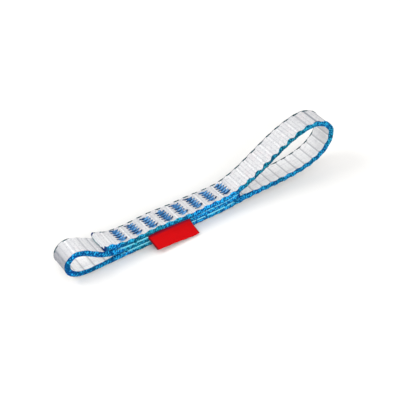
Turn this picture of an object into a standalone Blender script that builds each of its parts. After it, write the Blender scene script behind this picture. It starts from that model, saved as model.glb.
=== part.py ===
# Sewn webbing sling: one length of flat woven tape folded into a large and a
# small loop, its three layers joined by eight bar tacks, with a folded fabric
# tab sewn in at one edge.
#
# Model frame: X runs along the sling from the small loop to the large one,
# Y across the tape, Z up.  The sling lies on its edge-on profile in the XZ
# plane, its stitched underside on Z = 0.  Lengths below are in millimetres in
# the drawing frame, whose X = 0 is the cut end of the upper layer; MM turns
# them into metres and ORIGIN moves them to the part's own origin.

import math

import bmesh
import bpy
from mathutils import Matrix, Vector

MM = 0.001
ORIGIN = (55.654, -3.058, 0.0)   # drawing-frame point that becomes the origin

# ---- driving dimensions (mm) ----
TAPE_W = 12.0                   # tape width
TAPE_Y = 0.2                    # its middle, across
TAPE_T = 2.6                    # tape thickness
EDGE_R = 0.85                   # rounding of the woven edges
GAP = 0.3                       # clearance between the sewn layers
PITCH_Z = TAPE_T + GAP          # layer to layer
Z_LOW = TAPE_T / 2              # centre heights of the three flat layers
Z_MID = Z_LOW + PITCH_Z
Z_TOP = Z_MID + PITCH_Z

TACK_FIRST = 11.1               # first bar tack, centre
TACK_PITCH = 8.17
TACK_COUNT = 8
TACK_W = 5.2                    # along the tape, tooth tip to tooth tip
TACK_CORE = 3.0                 # solid middle of the tack
TACK_L = 8.6                    # across the tape
TACK_TEETH = 5
TACK_SKEW = 3.5                 # degrees off square to the tape
TACK_T = 0.55                   # thread build-up of the upper bar
TACK_PROUD = 0.2                # how far it stands above the tape
BOBBIN_T = 0.3
CLEAR = 0.3                     # working clearance between pieces
LEG_Y = 3.3                     # the stitch columns through the layers
LEG_S = 0.7

# The two places where the sewn stack turns into loose webbing.  The stack's
# end is turned round an axis across the tape, and the loop's end is turned
# round the same axis, one clearance larger, so that the loop can swing.
BIG_AXIS = (71.5, 5.7)
BIG_R = 5.5
SMALL_AXIS = (7.5, 5.1)
SMALL_R = 6.0

# Sewn-in tab.
TAB_X0, TAB_X1 = 23.5, 46.0
TAB_PLY = 0.4
TAB_T = 1.1                     # folded thickness
TAB_AXIS_Y = -6.7               # where it leaves the tape and bends
TAB_AXIS_Z = Z_MID + PITCH_Z / 2
TAB_ARC = 6.9                   # length outside the bend line
TAB_START, TAB_END = 12.0, 62.0  # its slope below level, degrees
TAIL_DEPTH = 4.0                # length held between the layers
TAIL_T = 0.7

# Control polygons of the tape's centreline, (x, z).  Each is the cage of a
# uniform cubic B-spline.  Upper layer and large loop, then lower layer:
FREE_END = [(0.0, 9.55), (5.0, 8.95), (9.5, 7.6), (14.5, Z_TOP)]
FLAT_X = [20.0, 28.0, 36.0, 44.0, 52.0, 60.0]
BIG_LOOP = [(66.5, 7.45), (73.5, 8.3), (84.0, 13.4), (94.5, 19.8),
            (103.5, 25.2), (112.5, 28.4), (121.5, 28.9), (129.2, 23.6),
            (129.6, 16.0), (123.6, 8.6), (114.5, 5.2), (104.5, 4.0),
            (94.5, 3.6), (84.0, 3.5), (74.0, 2.75), (66.5, 1.3)]
SMALL_LOOP = [(13.5, Z_LOW), (6.0, 1.4), (-1.0, 1.55), (-7.5, 1.15),
              (-13.3, 2.0), (-17.9, 5.4), (-18.3, 11.3), (-13.4, 14.7),
              (-8.0, 12.3), (-3.4, 8.2), (1.5, 5.15), (7.5, 4.45),
              (13.5, Z_MID)]
MIDDLE_END = [(66.5, 4.5), (71.5, 5.25), (75.6, 6.0)]


# ---------------------------------------------------------------- helpers

def spline(cage, step):
    """Uniform cubic B-spline through a cage, resampled at equal steps.

    The cage is mirrored beyond each end so that the curve starts and stops
    on its end points."""
    p = [Vector((x, z)) for x, z in cage]
    p = [2 * p[0] - p[1]] + p + [2 * p[-1] - p[-2]]
    fine = []
    for a, b, c, d in zip(p, p[1:], p[2:], p[3:]):
        for k in range(24):
            t = k / 24.0
            fine.append(((1 - t) ** 3 * a + (3 * t ** 3 - 6 * t * t + 4) * b
                         + (-3 * t ** 3 + 3 * t * t + 3 * t + 1) * c
                         + t ** 3 * d) / 6)
    fine.append((p[-3] + 4 * p[-2] + p[-1]) / 6)
    return resample(fine, step)


def resample(pts, step):
    run = [0.0]
    for a, b in zip(pts, pts[1:]):
        run.append(run[-1] + (b - a).length)
    n = max(2, int(round(run[-1] / step)))
    out, j = [], 0
    for k in range(n + 1):
        s = run[-1] * k / n
        while j < len(pts) - 2 and run[j + 1] < s:
            j += 1
        f = (s - run[j]) / (run[j + 1] - run[j])
        out.append(pts[j].lerp(pts[j + 1], min(1.0, max(0.0, f))))
    return out


def at_x(pts, x):
    """Height and slope angle of a left-to-right centreline at x."""
    for a, b in zip(pts, pts[1:]):
        if (a.x - x) * (b.x - x) <= 0 and a.x != b.x:
            f = (x - a.x) / (b.x - a.x)
            d = (b - a) if b.x > a.x else (a - b)
            return a.y + f * (b.y - a.y), math.atan2(d.y, d.x)
    raise ValueError(x)


def material(name, colour, rough):
    m = bpy.data.materials.new(name)
    m.use_nodes = True
    b = m.node_tree.nodes["Principled BSDF"]
    b.inputs["Base Color"].default_value = (*colour, 1.0)
    b.inputs["Roughness"].default_value = rough
    b.inputs["Metallic"].default_value = 0.0
    return m


def finish(bm, name, mat, pivot=None, cutter=False, parent=None):
    """Mesh in drawing millimetres -> object in metres, origin on pivot."""
    bmesh.ops.remove_doubles(bm, verts=bm.verts, dist=1e-5)
    bmesh.ops.recalc_face_normals(bm, faces=bm.faces)
    px, py, pz = pivot if pivot else ORIGIN
    for v in bm.verts:
        v.co = Vector(((v.co.x - px) * MM, (v.co.y - py) * MM,
                       (v.co.z - pz) * MM))
    me = bpy.data.meshes.new(name)
    bm.to_mesh(me)
    bm.free()
    ob = bpy.data.objects.new(name, me)
    bpy.context.scene.collection.objects.link(ob)
    ob.location = ((px - ORIGIN[0]) * MM, (py - ORIGIN[1]) * MM,
                   (pz - ORIGIN[2]) * MM)
    if cutter:
        ob.hide_render = True
        ob.display_type = 'WIRE'
    else:
        me.materials.append(mat)
        me.shade_smooth()
        me.set_sharp_from_angle(angle=math.radians(35))
    return ob


def section():
    """Rounded rectangle of the tape: (across, through), both ways centred."""
    out = []
    for cy, cn, a0 in ((1, 1, 0), (-1, 1, 90), (-1, -1, 180), (1, -1, 270)):
        for k in range(3):
            a = math.radians(a0 + 45 * k)
            out.append((TAPE_Y + cy * (TAPE_W / 2 - EDGE_R)
                        + EDGE_R * math.cos(a),
                        cn * (TAPE_T / 2 - EDGE_R) + EDGE_R * math.sin(a)))
    return out


def tape(name, path, mat, pivot=None):
    """The tape's section carried along a centreline in the XZ plane."""
    bm = bmesh.new()
    rings, sec = [], section()
    for i, p in enumerate(path):
        a, b = path[max(0, i - 1)], path[min(len(path) - 1, i + 1)]
        t = (b - a).normalized()
        n = Vector((-t.y, t.x))
        rings.append([bm.verts.new((p.x + n.x * h, y, p.y + n.y * h))
                      for y, h in sec])
    m = len(sec)
    for r0, r1 in zip(rings, rings[1:]):
        for k in range(m):
            bm.faces.new((r0[k], r0[(k + 1) % m], r1[(k + 1) % m], r1[k]))
    bm.faces.new(rings[0])
    bm.faces.new(list(reversed(rings[-1])))
    return finish(bm, name, mat, pivot)


def prism_xz(name, outline, y0, y1, mat=None, pivot=None, cutter=True):
    """An outline in the XZ plane extruded across the tape."""
    bm = bmesh.new()
    f = bm.faces.new([bm.verts.new((x, y0, z)) for x, z in outline])
    ext = bmesh.ops.extrude_face_region(bm, geom=[f])
    for v in ext["geom"]:
        if isinstance(v, bmesh.types.BMVert):
            v.co.y = y1
    return finish(bm, name, mat, pivot, cutter)


def add_box(bm, matrix, size, centre):
    """A box placed in a local frame."""
    m = matrix @ Matrix.Translation(centre) @ Matrix.Diagonal((*size, 1.0))
    return bmesh.ops.create_cube(bm, size=1.0, matrix=m)


def cut(ob, tool, operation='DIFFERENCE'):
    mod = ob.modifiers.new(tool.name, 'BOOLEAN')
    mod.operation = operation
    mod.solver = 'EXACT'
    mod.object = tool


def stack_outline(grow):
    """Side outline of the sewn stack: two turned ends and open flanks."""
    out = []
    for (cx, cz), r, side in ((BIG_AXIS, BIG_R + grow, 1),
                              (SMALL_AXIS, SMALL_R + grow, -1)):
        for k in range(17):
            a = math.radians(-80 + 10 * k) * side
            out.append((cx + side * r * math.cos(a), cz + r * math.sin(a)))
        if side == 1:
            out += [(66.0, 13.0), (14.0, 13.0)]
        else:
            out += [(14.0, -3.0), (66.0, -3.0)]
    return out


def local_frame(x, z, slope):
    return (Matrix.Translation((x, TAPE_Y, z))
            @ Matrix.Rotation(-slope, 4, 'Y'))


# ------------------------------------------------------------------ build

def build():
    for ob in list(bpy.data.objects):
        bpy.data.objects.remove(ob, do_unlink=True)

    white = material("tape_white", (0.83, 0.85, 0.86), 0.75)
    tapes = {}
    for n in ("upper", "middle", "lower", "end", "small", "big"):
        tapes[n] = white.copy()
        tapes[n].name = "tape_" + n
    blue = material("tack_thread", (0.085, 0.235, 0.51), 0.6)
    blue_low = material("tack_thread_lower", (0.085, 0.235, 0.51), 0.6)
    red = material("tab_fabric", (0.66, 0.006, 0.009), 0.55)
    red_in = material("tab_fabric_sewn", (0.60, 0.006, 0.009), 0.6)

    # One continuous centreline: free end, upper layer, large loop, lower
    # layer, small loop, middle layer, middle layer's cut end.
    upper = spline(FREE_END + [(x, Z_TOP) for x in FLAT_X]
                   + BIG_LOOP[:4], 2.0)
    middle = spline(SMALL_LOOP[-4:] + [(x, Z_MID) for x in FLAT_X]
                    + MIDDLE_END, 2.0)
    lower = spline([(x, z) for x, z in reversed(SMALL_LOOP[:4])]
                   + [(x, Z_LOW) for x in FLAT_X]
                   + list(reversed(BIG_LOOP[-4:])), 2.0)
    big = spline([(x, Z_TOP) for x in FLAT_X[-3:]] + BIG_LOOP
                 + [(x, Z_LOW) for x in reversed(FLAT_X[-3:])], 2.3)
    small = spline([(x, Z_LOW) for x in reversed(FLAT_X[:3])] + SMALL_LOOP
                   + [(x, Z_MID) for x in FLAT_X[:3]], 2.0)

    stack = prism_xz("cut_stack", stack_outline(0.0), -8.0, 8.0)
    swing = prism_xz("cut_swing", stack_outline(CLEAR), -8.0, 8.0)

    # The three sewn layers, trimmed to the stack's turned ends.
    layers = {"top_layer": tape("top_layer", upper, tapes["upper"]),
              "middle_layer": tape("middle_layer", middle,
                                   tapes["middle"]),
              "bottom_layer": tape("bottom_layer", lower, tapes["lower"])}
    for ob in layers.values():
        cut(ob, stack, 'INTERSECT')

    # The loose webbing beyond them.
    big_pivot = (BIG_AXIS[0], 0.0, BIG_AXIS[1])
    small_pivot = (SMALL_AXIS[0], 0.0, SMALL_AXIS[1])
    ob = tape("big_loop", big, tapes["big"], big_pivot)
    cut(ob, swing)
    ob = tape("small_loop", small, tapes["small"], small_pivot)
    cut(ob, swing)
    free = [p for p in upper if p.x < 14.0]
    ob = tape("top_layer_end", free, tapes["end"], small_pivot)
    cut(ob, swing)

    # Bar tacks.  Each has an upper thread, a toothed bar with two stitch
    # columns down through the layers, and a lower thread, a bar let into
    # the underside, which the columns lock on to.
    holes = bmesh.new()
    pockets_up = bmesh.new()
    pockets_low = bmesh.new()
    tail_holes = bmesh.new()
    skew = Matrix.Rotation(math.radians(TACK_SKEW), 4, 'Z')
    for i in range(TACK_COUNT):
        x = TACK_FIRST + TACK_PITCH * i
        z_up, slope_up = at_x(upper, x)
        z_dn, slope_dn = at_x(lower, x)
        top = local_frame(x, z_up, slope_up) @ skew
        dn = local_frame(x, z_dn, slope_dn) @ skew
        face = TAPE_T / 2
        bar_z = face + TACK_PROUD - TACK_T
        depth = (z_up - z_dn) * math.cos(slope_up)

        bm = bmesh.new()
        ring = []
        step = TACK_L / (2 * TACK_TEETH)
        for side in (1, -1):
            for k in range(2 * TACK_TEETH + 1):
                half = TACK_W / 2 if k % 2 == (0 if side > 0 else 1) \
                    else TACK_CORE / 2
                ring.append((side * half, side * (k * step - TACK_L / 2)))
        f = bm.faces.new([bm.verts.new(top @ Vector((u, v, bar_z)))
                          for u, v in ring])
        lift = (top.to_3x3() @ Vector((0, 0, 1))) * TACK_T
        ext = bmesh.ops.extrude_face_region(bm, geom=[f])
        for g in ext["geom"]:
            if isinstance(g, bmesh.types.BMVert):
                g.co += lift
        leg_top = bar_z + TACK_T / 2
        leg_low = -depth - face + BOBBIN_T + 0.05 + 2 * CLEAR
        threads = finish(bm, f"tack_{i + 1}_needle_thread", blue)
        for s in (1, -1):
            bm = bmesh.new()
            add_box(bm, top, (LEG_S, LEG_S, leg_top - leg_low),
                    (0.0, s * LEG_Y, (leg_top + leg_low) / 2))
            leg = finish(bm, f"add_leg_{i + 1}_{'a' if s > 0 else 'b'}",
                         None, cutter=True)
            cut(threads, leg, 'UNION')
            add_box(holes, top, (LEG_S + 2 * CLEAR, LEG_S + 2 * CLEAR,
                                 depth + 3 * TAPE_T),
                    (0.0, s * LEG_Y, -depth / 2))
        add_box(tail_holes, top, (LEG_S + 2 * CLEAR, LEG_S + 2 * CLEAR, 6),
                (0.0, -LEG_Y, -3.0))
        add_box(pockets_up, top,
                (TACK_W + 2 * CLEAR, TACK_L + 2 * CLEAR, 2.0),
                (0.0, 0.0, bar_z - CLEAR + 1.0))
        add_box(pockets_low, dn,
                (TACK_CORE + 2 * CLEAR, TACK_L + 2 * CLEAR, 2.0),
                (0.0, 0.0, -face + 0.05 + BOBBIN_T + CLEAR - 1.0))
        bm = bmesh.new()
        add_box(bm, dn, (TACK_CORE, TACK_L, BOBBIN_T),
                (0.0, 0.0, -face + 0.05 + BOBBIN_T / 2))
        finish(bm, f"tack_{i + 1}_bobbin_thread", blue_low)

    holes = finish(holes, "cut_stitch_columns", None, cutter=True)
    pockets_up = finish(pockets_up, "cut_upper_bars", None, cutter=True)
    pockets_low = finish(pockets_low, "cut_lower_bars", None, cutter=True)
    tail_holes = finish(tail_holes, "cut_tail_holes", None, cutter=True)
    for ob in layers.values():
        cut(ob, holes)
    cut(layers["top_layer"], pockets_up)
    cut(layers["bottom_layer"], pockets_low)

    # The tab's sewn tail lies in a shallow bed under the upper layer, held
    # by the stitch columns that pass through it.
    tail_low = Z_MID + TAPE_T / 2 + CLEAR
    bm = bmesh.new()
    y_out = TAB_AXIS_Y + TAB_T / 2 + CLEAR
    y_in = TAPE_Y - TAPE_W / 2 + TAIL_DEPTH
    add_box(bm, Matrix.Identity(4),
            (TAB_X1 - TAB_X0, y_in - y_out, TAIL_T),
            ((TAB_X0 + TAB_X1) / 2, (y_in + y_out) / 2,
             tail_low + TAIL_T / 2))
    tail = finish(bm, "label_tail", red_in)
    cut(tail, tail_holes)
    bm = bmesh.new()
    add_box(bm, Matrix.Identity(4),
            (TAB_X1 - TAB_X0 + 2 * CLEAR, TAIL_DEPTH + CLEAR + 2,
             TAIL_T + 2 * CLEAR),
            ((TAB_X0 + TAB_X1) / 2, y_in + CLEAR - (TAIL_DEPTH + CLEAR
                                                    + 2) / 2,
             tail_low - CLEAR + (TAIL_T + 2 * CLEAR) / 2))
    bed = finish(bm, "cut_tail_bed", None, cutter=True)
    cut(layers["top_layer"], bed)

    # The tab itself: a strip folded double, drooping in an arc from its
    # bend line, with the fold along its outer edge.
    turn = math.radians(TAB_END - TAB_START)
    radius = TAB_ARC / turn
    tab_z = tail_low + TAIL_T / 2

    def droop(s, h):
        """Point at length s and height h off the tab's mid surface."""
        a = math.radians(TAB_START) + s / radius
        y = TAB_AXIS_Y - radius * (math.sin(a)
                                   - math.sin(math.radians(TAB_START)))
        z = tab_z - radius * (math.cos(math.radians(TAB_START))
                              - math.cos(a))
        return (y - h * math.sin(a), z + h * math.cos(a))

    half = TAB_T / 2
    length = TAB_ARC - half
    outer, inner = [], []
    for k in range(9):
        outer.append(droop(length * k / 8, half))
    for k in range(1, 6):
        a = math.pi / 2 - math.pi * k / 6
        outer.append(droop(length + half * math.cos(a), half * math.sin(a)))
    for k in range(8, -1, -1):
        outer.append(droop(length * k / 8, -half))
    for k in range(1, 8):
        a = -math.pi / 2 - math.pi * k / 8
        outer.append(droop(half * math.cos(a), half * math.sin(a)))
    gap = half - TAB_PLY
    s0, s1 = 0.6, length
    for k in range(7):
        inner.append(droop(s0 + (s1 - s0) * k / 6, gap))
    for k in range(6, -1, -1):
        inner.append(droop(s0 + (s1 - s0) * k / 6, -gap))

    def prism_yz(name, outline, mat, pivot, cutter=False, more=0.0):
        b = bmesh.new()
        f = b.faces.new([b.verts.new((TAB_X0 - more, y, z))
                         for y, z in outline])
        e = bmesh.ops.extrude_face_region(b, geom=[f])
        for g in e["geom"]:
            if isinstance(g, bmesh.types.BMVert):
                g.co.x = TAB_X1 + more
        return finish(b, name, mat, pivot, cutter)

    tab_pivot = ((TAB_X0 + TAB_X1) / 2, TAB_AXIS_Y, tab_z)
    tab = prism_yz("label_flap", outer, red, tab_pivot)
    fold = prism_yz("cut_label_fold", inner, None, tab_pivot, True, 1.0)
    cut(tab, fold)


build()
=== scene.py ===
import math

import bpy
import numpy as np
from mathutils import Matrix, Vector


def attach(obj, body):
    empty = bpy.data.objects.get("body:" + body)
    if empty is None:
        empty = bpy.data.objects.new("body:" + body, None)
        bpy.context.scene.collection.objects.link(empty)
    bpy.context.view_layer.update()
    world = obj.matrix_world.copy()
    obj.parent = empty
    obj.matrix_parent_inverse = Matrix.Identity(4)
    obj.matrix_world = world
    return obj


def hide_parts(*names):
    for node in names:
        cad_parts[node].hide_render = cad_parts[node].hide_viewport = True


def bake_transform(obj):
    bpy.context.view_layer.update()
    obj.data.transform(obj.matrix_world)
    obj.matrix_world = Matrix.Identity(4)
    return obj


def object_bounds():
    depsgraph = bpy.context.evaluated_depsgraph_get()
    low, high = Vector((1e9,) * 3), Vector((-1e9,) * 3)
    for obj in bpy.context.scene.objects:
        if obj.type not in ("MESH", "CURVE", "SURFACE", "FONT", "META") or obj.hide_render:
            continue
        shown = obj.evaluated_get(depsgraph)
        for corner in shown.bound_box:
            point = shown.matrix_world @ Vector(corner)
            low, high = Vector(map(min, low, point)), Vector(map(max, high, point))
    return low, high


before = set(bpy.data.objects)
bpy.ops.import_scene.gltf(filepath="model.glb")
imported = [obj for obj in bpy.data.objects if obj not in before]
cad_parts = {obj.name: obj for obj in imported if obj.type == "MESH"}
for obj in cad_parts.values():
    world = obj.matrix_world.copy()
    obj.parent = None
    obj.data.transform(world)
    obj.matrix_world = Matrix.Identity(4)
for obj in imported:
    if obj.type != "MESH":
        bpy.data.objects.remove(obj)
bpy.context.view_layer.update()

# ------------------------------------------------------------------ dimensions
# Lengths are in drawing millimetres, as in the CAD: X = 0 at the cut end of
# the upper layer, Z = 0 the underside.  ORIGIN is the part's own origin.
ORIGIN = np.array([55.654, -3.058, 0.0])
MM = 0.001

Z_LOW, Z_MID, Z_TOP = 1.3, 4.2, 7.1
FREE_END = [(0.0, 10.0), (5.0, 8.85), (9.5, 7.6), (14.5, Z_TOP)]
FLAT_X = [20.0, 28.0, 36.0, 44.0, 52.0, 60.0]
BIG_LOOP = [(66.5, 7.45), (73.5, 8.3), (84.0, 13.4), (94.5, 19.8),
            (103.5, 25.2), (112.5, 28.4), (121.5, 28.9), (129.2, 23.6),
            (129.6, 16.0), (123.6, 8.6), (114.5, 5.2), (104.5, 4.0),
            (94.5, 3.6), (84.0, 3.5), (74.0, 2.75), (66.5, 1.3)]
SMALL_LOOP = [(13.5, Z_LOW), (6.0, 1.4), (-1.0, 1.55), (-7.5, 1.15),
              (-13.3, 2.0), (-17.9, 5.4), (-18.3, 11.3), (-13.4, 14.7),
              (-8.0, 12.5), (-3.4, 9.0), (1.5, 6.3), (7.5, 4.9),
              (13.5, Z_MID)]
MIDDLE_END = [(66.5, 4.5), (71.5, 5.25), (75.6, 6.0)]

HALF_W = 6.0                     # half the tape's width
TAPE_Y = 0.2                     # its middle, across
FLAT_Y = 5.3                     # where its faces start to turn into an edge
HALF_T = 1.25                    # half thickness of the woven ground
PITCH = 5.4                      # weave repeat along the tape
TACK_FIRST, TACK_PITCH, TACK_COUNT = 11.1, 8.17, 8
TACK_SKEW = math.radians(3.5)
SPLIT_X = TACK_FIRST + 3 * TACK_PITCH
DIMPLE = 0.36                    # how far a bar tack pulls the tape in


def point(x, y, z):
    """Drawing millimetres to metres in the part's frame."""
    return tuple((np.array([x, y, z]) - ORIGIN) * MM)


# ------------------------------------------------------------------ centreline
def bspline(cage, n=64):
    p = np.array(cage, float)
    p = np.vstack([2 * p[0] - p[1], p, 2 * p[-1] - p[-2]])
    t = (np.arange(n) / n)[:, None]
    out = [((1 - t) ** 3 * a + (3 * t ** 3 - 6 * t ** 2 + 4) * b
            + (-3 * t ** 3 + 3 * t ** 2 + 3 * t + 1) * c + t ** 3 * d) / 6
           for a, b, c, d in zip(p, p[1:], p[2:], p[3:])]
    out.append(((p[-3] + 4 * p[-2] + p[-1]) / 6)[None])
    return np.vstack(out)


LINE = bspline(FREE_END + [(x, Z_TOP) for x in FLAT_X] + BIG_LOOP
               + [(x, Z_LOW) for x in reversed(FLAT_X)] + SMALL_LOOP
               + [(x, Z_MID) for x in FLAT_X] + MIDDLE_END)
RUN = np.concatenate([[0.0], np.cumsum(np.hypot(*np.diff(LINE, axis=0).T))])
TANGENT = np.gradient(LINE, axis=0)
TANGENT /= np.hypot(*TANGENT.T)[:, None]
TOTAL = RUN[-1]


def centre(s):
    return (np.interp(s, RUN, LINE[:, 0]), np.interp(s, RUN, LINE[:, 1]))


def heading(s):
    tx = np.interp(s, RUN, TANGENT[:, 0])
    tz = np.interp(s, RUN, TANGENT[:, 1])
    d = np.hypot(tx, tz)
    return tx / d, tz / d


def run_at_x(x, s_low, s_high):
    m = (RUN >= s_low) & (RUN <= s_high)
    xs, ss = LINE[m, 0], RUN[m]
    if xs[0] > xs[-1]:
        xs, ss = xs[::-1], ss[::-1]
    return float(np.interp(x, xs, ss))


S_UP = run_at_x(SPLIT_X, 5, 90)
S_DOWN = run_at_x(SPLIT_X, 180, 270)
S_BACK = run_at_x(SPLIT_X, 330, TOTAL)

# The weave repeats along the tape; the sewing takes the stitched length up a
# little, so the repeat is shorter there.
PHASE_S = [0.0, 75.97, 124.9, 145.7, 165.9, 192.3, 298.95, 420.0]
PHASE_U = [-75.97 / 5.1, 0.0, 9.04, 12.5, 16.5, 21.5, 41.0, 41.0 + 121.05 / 5.4]


def phase(s):
    return np.interp(s, PHASE_S, PHASE_U)


def off_repeat(u):
    """Distance in mm from the nearest whole repeat."""
    return (u - np.round(u)) * PITCH


def smooth(x, a, b):
    t = np.clip((x - a) / (b - a), 0.0, 1.0)
    return t * t * (3 - 2 * t)


def bell(x, w):
    return np.exp(-(x / w) ** 2)


def lobe_of(d):
    """The edge yarn's loop on to a face: 1 at its middle, 0 outside it."""
    t = np.where(np.abs(d) < 2.3, 0.5 + 0.5 * np.cos(np.pi * d / 2.3), 0.0)
    return t ** 0.8


def pull(s):
    """How strongly the bar tacks draw the outer face in, 0 to 1, along s."""
    x, _ = centre(s)
    on = np.where((s < 85) | ((s > 200) & (s < 275)), 1.0, 0.0)
    k = np.clip(np.round((x - TACK_FIRST) / TACK_PITCH), 0, TACK_COUNT - 1)
    return on, x - (TACK_FIRST + k * TACK_PITCH)


def dimple(dx):
    return DIMPLE * np.exp(-(np.abs(dx) / 2.3) ** 4)


def lobe_size(s):
    """The edge's beads are flatter round the small loop's tight turn."""
    return 1 - 0.80 * smooth(s, 258, 272) * (1 - smooth(s, 320, 332))


def sewn(s):
    """1 where the three layers are pressed together, 0 in the loose loops."""
    return np.maximum(np.maximum(
        smooth(s, 4, 11) * (1 - smooth(s, 67, 75)),
        smooth(s, 200, 210) * (1 - smooth(s, 262, 271))), smooth(s, 324, 333))


def sides(s):
    """The tape's two edges, across: they wander a little where it is sewn."""
    loose = 1 - sewn(s)
    wide = smooth(s, 82, 90) * (1 - smooth(s, 104, 112))
    x, _ = centre(s)
    upper = np.where(s < 85, 1.0, 0.0)
    share = 0.6 + 0.4 * upper
    near = upper * (0.30 * bell(x - 4, 4.0) + 0.45 * bell(x - 29, 5.5)
                    - 0.65 * bell(x - 49, 7.5) - 0.35 * bell(x - 66, 5.5))
    far = share * (0.92 * bell(x - 30, 10.0) + 0.62 * bell(x - 51, 10.0)) \
        - upper * 0.45 * bell(x - 6, 3.5) \
        - 0.85 * smooth(s, 292, 298.5) * (1 - smooth(s, 309, 317))
    return -5.58 - 0.36 * loose + near, 6.08 + 0.22 * loose + 0.18 * wide + far


def groove_strength(s):
    """The outer face's cross lines open up where the tape turns hard; the same strength
    sets how dark their painted shade is.
    """
    return (0.02 + 0.50 * bell(s - 120.0, 2.4) + 0.95 * bell(s - 125.2, 2.4)
            + 0.5 * smooth(s, 127, 132) * (1 - smooth(s, 150, 165))
            + 0.3 * smooth(s, 160, 175) * (1 - smooth(s, 285, 292))
            + 1.05 * bell(s - 299.2, 2.2) + 0.45 * bell(s - 310.0, 2.2)
            + 0.50 * bell(s - 315.6, 2.2))


def teal_share(s):
    """The edge's blue leans to teal on the large loop's upper run."""
    x, _ = centre(s)
    stack = (s < 68) | ((s > 205) & (s < 262)) | (s > 330)
    return (0.9 * smooth(s, 68, 84) * (1 - smooth(s, 112, 132))
            + 0.70 * stack * smooth(x, 7, 12) * (1 - smooth(x, 38, 50))
            + 0.35 * smooth(s, 112, 132) * (1 - smooth(s, 195, 208))
            + 0.10 * smooth(s, 266, 276) * (1 - smooth(s, 318, 326)))


def depth_share(s):
    """Darker blue round the loops and on the upper layer's first 50 mm than along the rest
    of the sewn edge.
    """
    return (0.75 * smooth(s, 66, 80) * (1 - smooth(s, 198, 212))
            + 0.95 * smooth(s, 264, 274) * (1 - smooth(s, 320, 330))
            + 0.7 * (1 - smooth(s, 0.5, 9.0))
            + 1.2 * smooth(s, 8, 14) * (1 - smooth(s, 40, 50)))


# ------------------------------------------------------------------ the tape
FACE_N, EDGE_N = 38, 11


def ring():
    """The section's points: y, z, outward y and z, and which face (+1..-1)."""
    y, z, ny, nz, f = [], [], [], [], []
    ex = 2 / 2.5
    for yy in np.linspace(-FLAT_Y, FLAT_Y, FACE_N):
        y.append(yy); z.append(HALF_T); ny.append(0.0); nz.append(1.0)
        f.append(1.0)
    for a in np.linspace(90, -90, EDGE_N + 2)[1:-1]:
        r = math.radians(a)
        y.append(FLAT_Y + (HALF_W - 0.05 - FLAT_Y) * math.cos(r) ** ex)
        z.append(HALF_T * math.copysign(abs(math.sin(r)) ** ex, r))
        ny.append(math.cos(r)); nz.append(math.sin(r)); f.append(math.sin(r))
    for yy in np.linspace(FLAT_Y, -FLAT_Y, FACE_N):
        y.append(yy); z.append(-HALF_T); ny.append(0.0); nz.append(-1.0)
        f.append(-1.0)
    for a in np.linspace(-90, 90, EDGE_N + 2)[1:-1]:
        r = math.radians(a)
        y.append(-FLAT_Y - (HALF_W - 0.05 - FLAT_Y) * math.cos(r) ** ex)
        z.append(HALF_T * math.copysign(abs(math.sin(r)) ** ex, r))
        ny.append(-math.cos(r)); nz.append(math.sin(r)); f.append(math.sin(r))
    return [np.array(v) for v in (y, z, ny, nz, f)]


RING = ring()


def stations(s0, s1):
    """Closer together where the weave's cross grooves are."""
    out = {s0, s1}
    u0, u1 = phase(s0), phase(s1)
    for k in range(int(math.floor(2 * u0)) - 1, int(math.ceil(2 * u1)) + 2):
        mid = float(np.interp(k / 2, PHASE_U, PHASE_S))
        for d in (-1.2, -0.8, -0.45, -0.24, -0.11, 0.0, 0.11, 0.24, 0.45,
                  0.8, 1.2):
            if s0 + 0.06 < mid + d < s1 - 0.06:
                out.add(mid + d)
    keep = []
    for s in sorted(out):
        if not keep or s - keep[-1] > 0.04 or s == s1:
            keep.append(s)
    return keep


def woven(s, u, y, f):
    """Height of the woven ground off its mean face, in mm."""
    v = np.where(f >= 0, u, u + 0.5)
    d = off_repeat(v)
    band = np.round(v - 0.5)
    deep = np.where(f >= 0, -0.03 + 0.19 * np.clip(groove_strength(s), 0, 1),
                    0.10)
    h = 0.055 * (1 - bell(d, 0.75)) - deep * bell(d, 0.36)
    h += 0.02 * bell(np.abs(d) - 0.8, 0.25)
    h += 0.016 * np.cos(2 * np.pi * 3 * d / PITCH)
    cord = np.abs(np.cos(np.pi * y / 1.06 + band * np.pi / 2))
    h += 0.05 * (cord ** 0.7 - 0.65) * (1 - 0.7 * bell(d, 0.3))
    h += 0.012 * np.sin(2 * np.pi * (s / 0.88)) * np.sin(2 * np.pi * y / 2.12)
    return h


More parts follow.
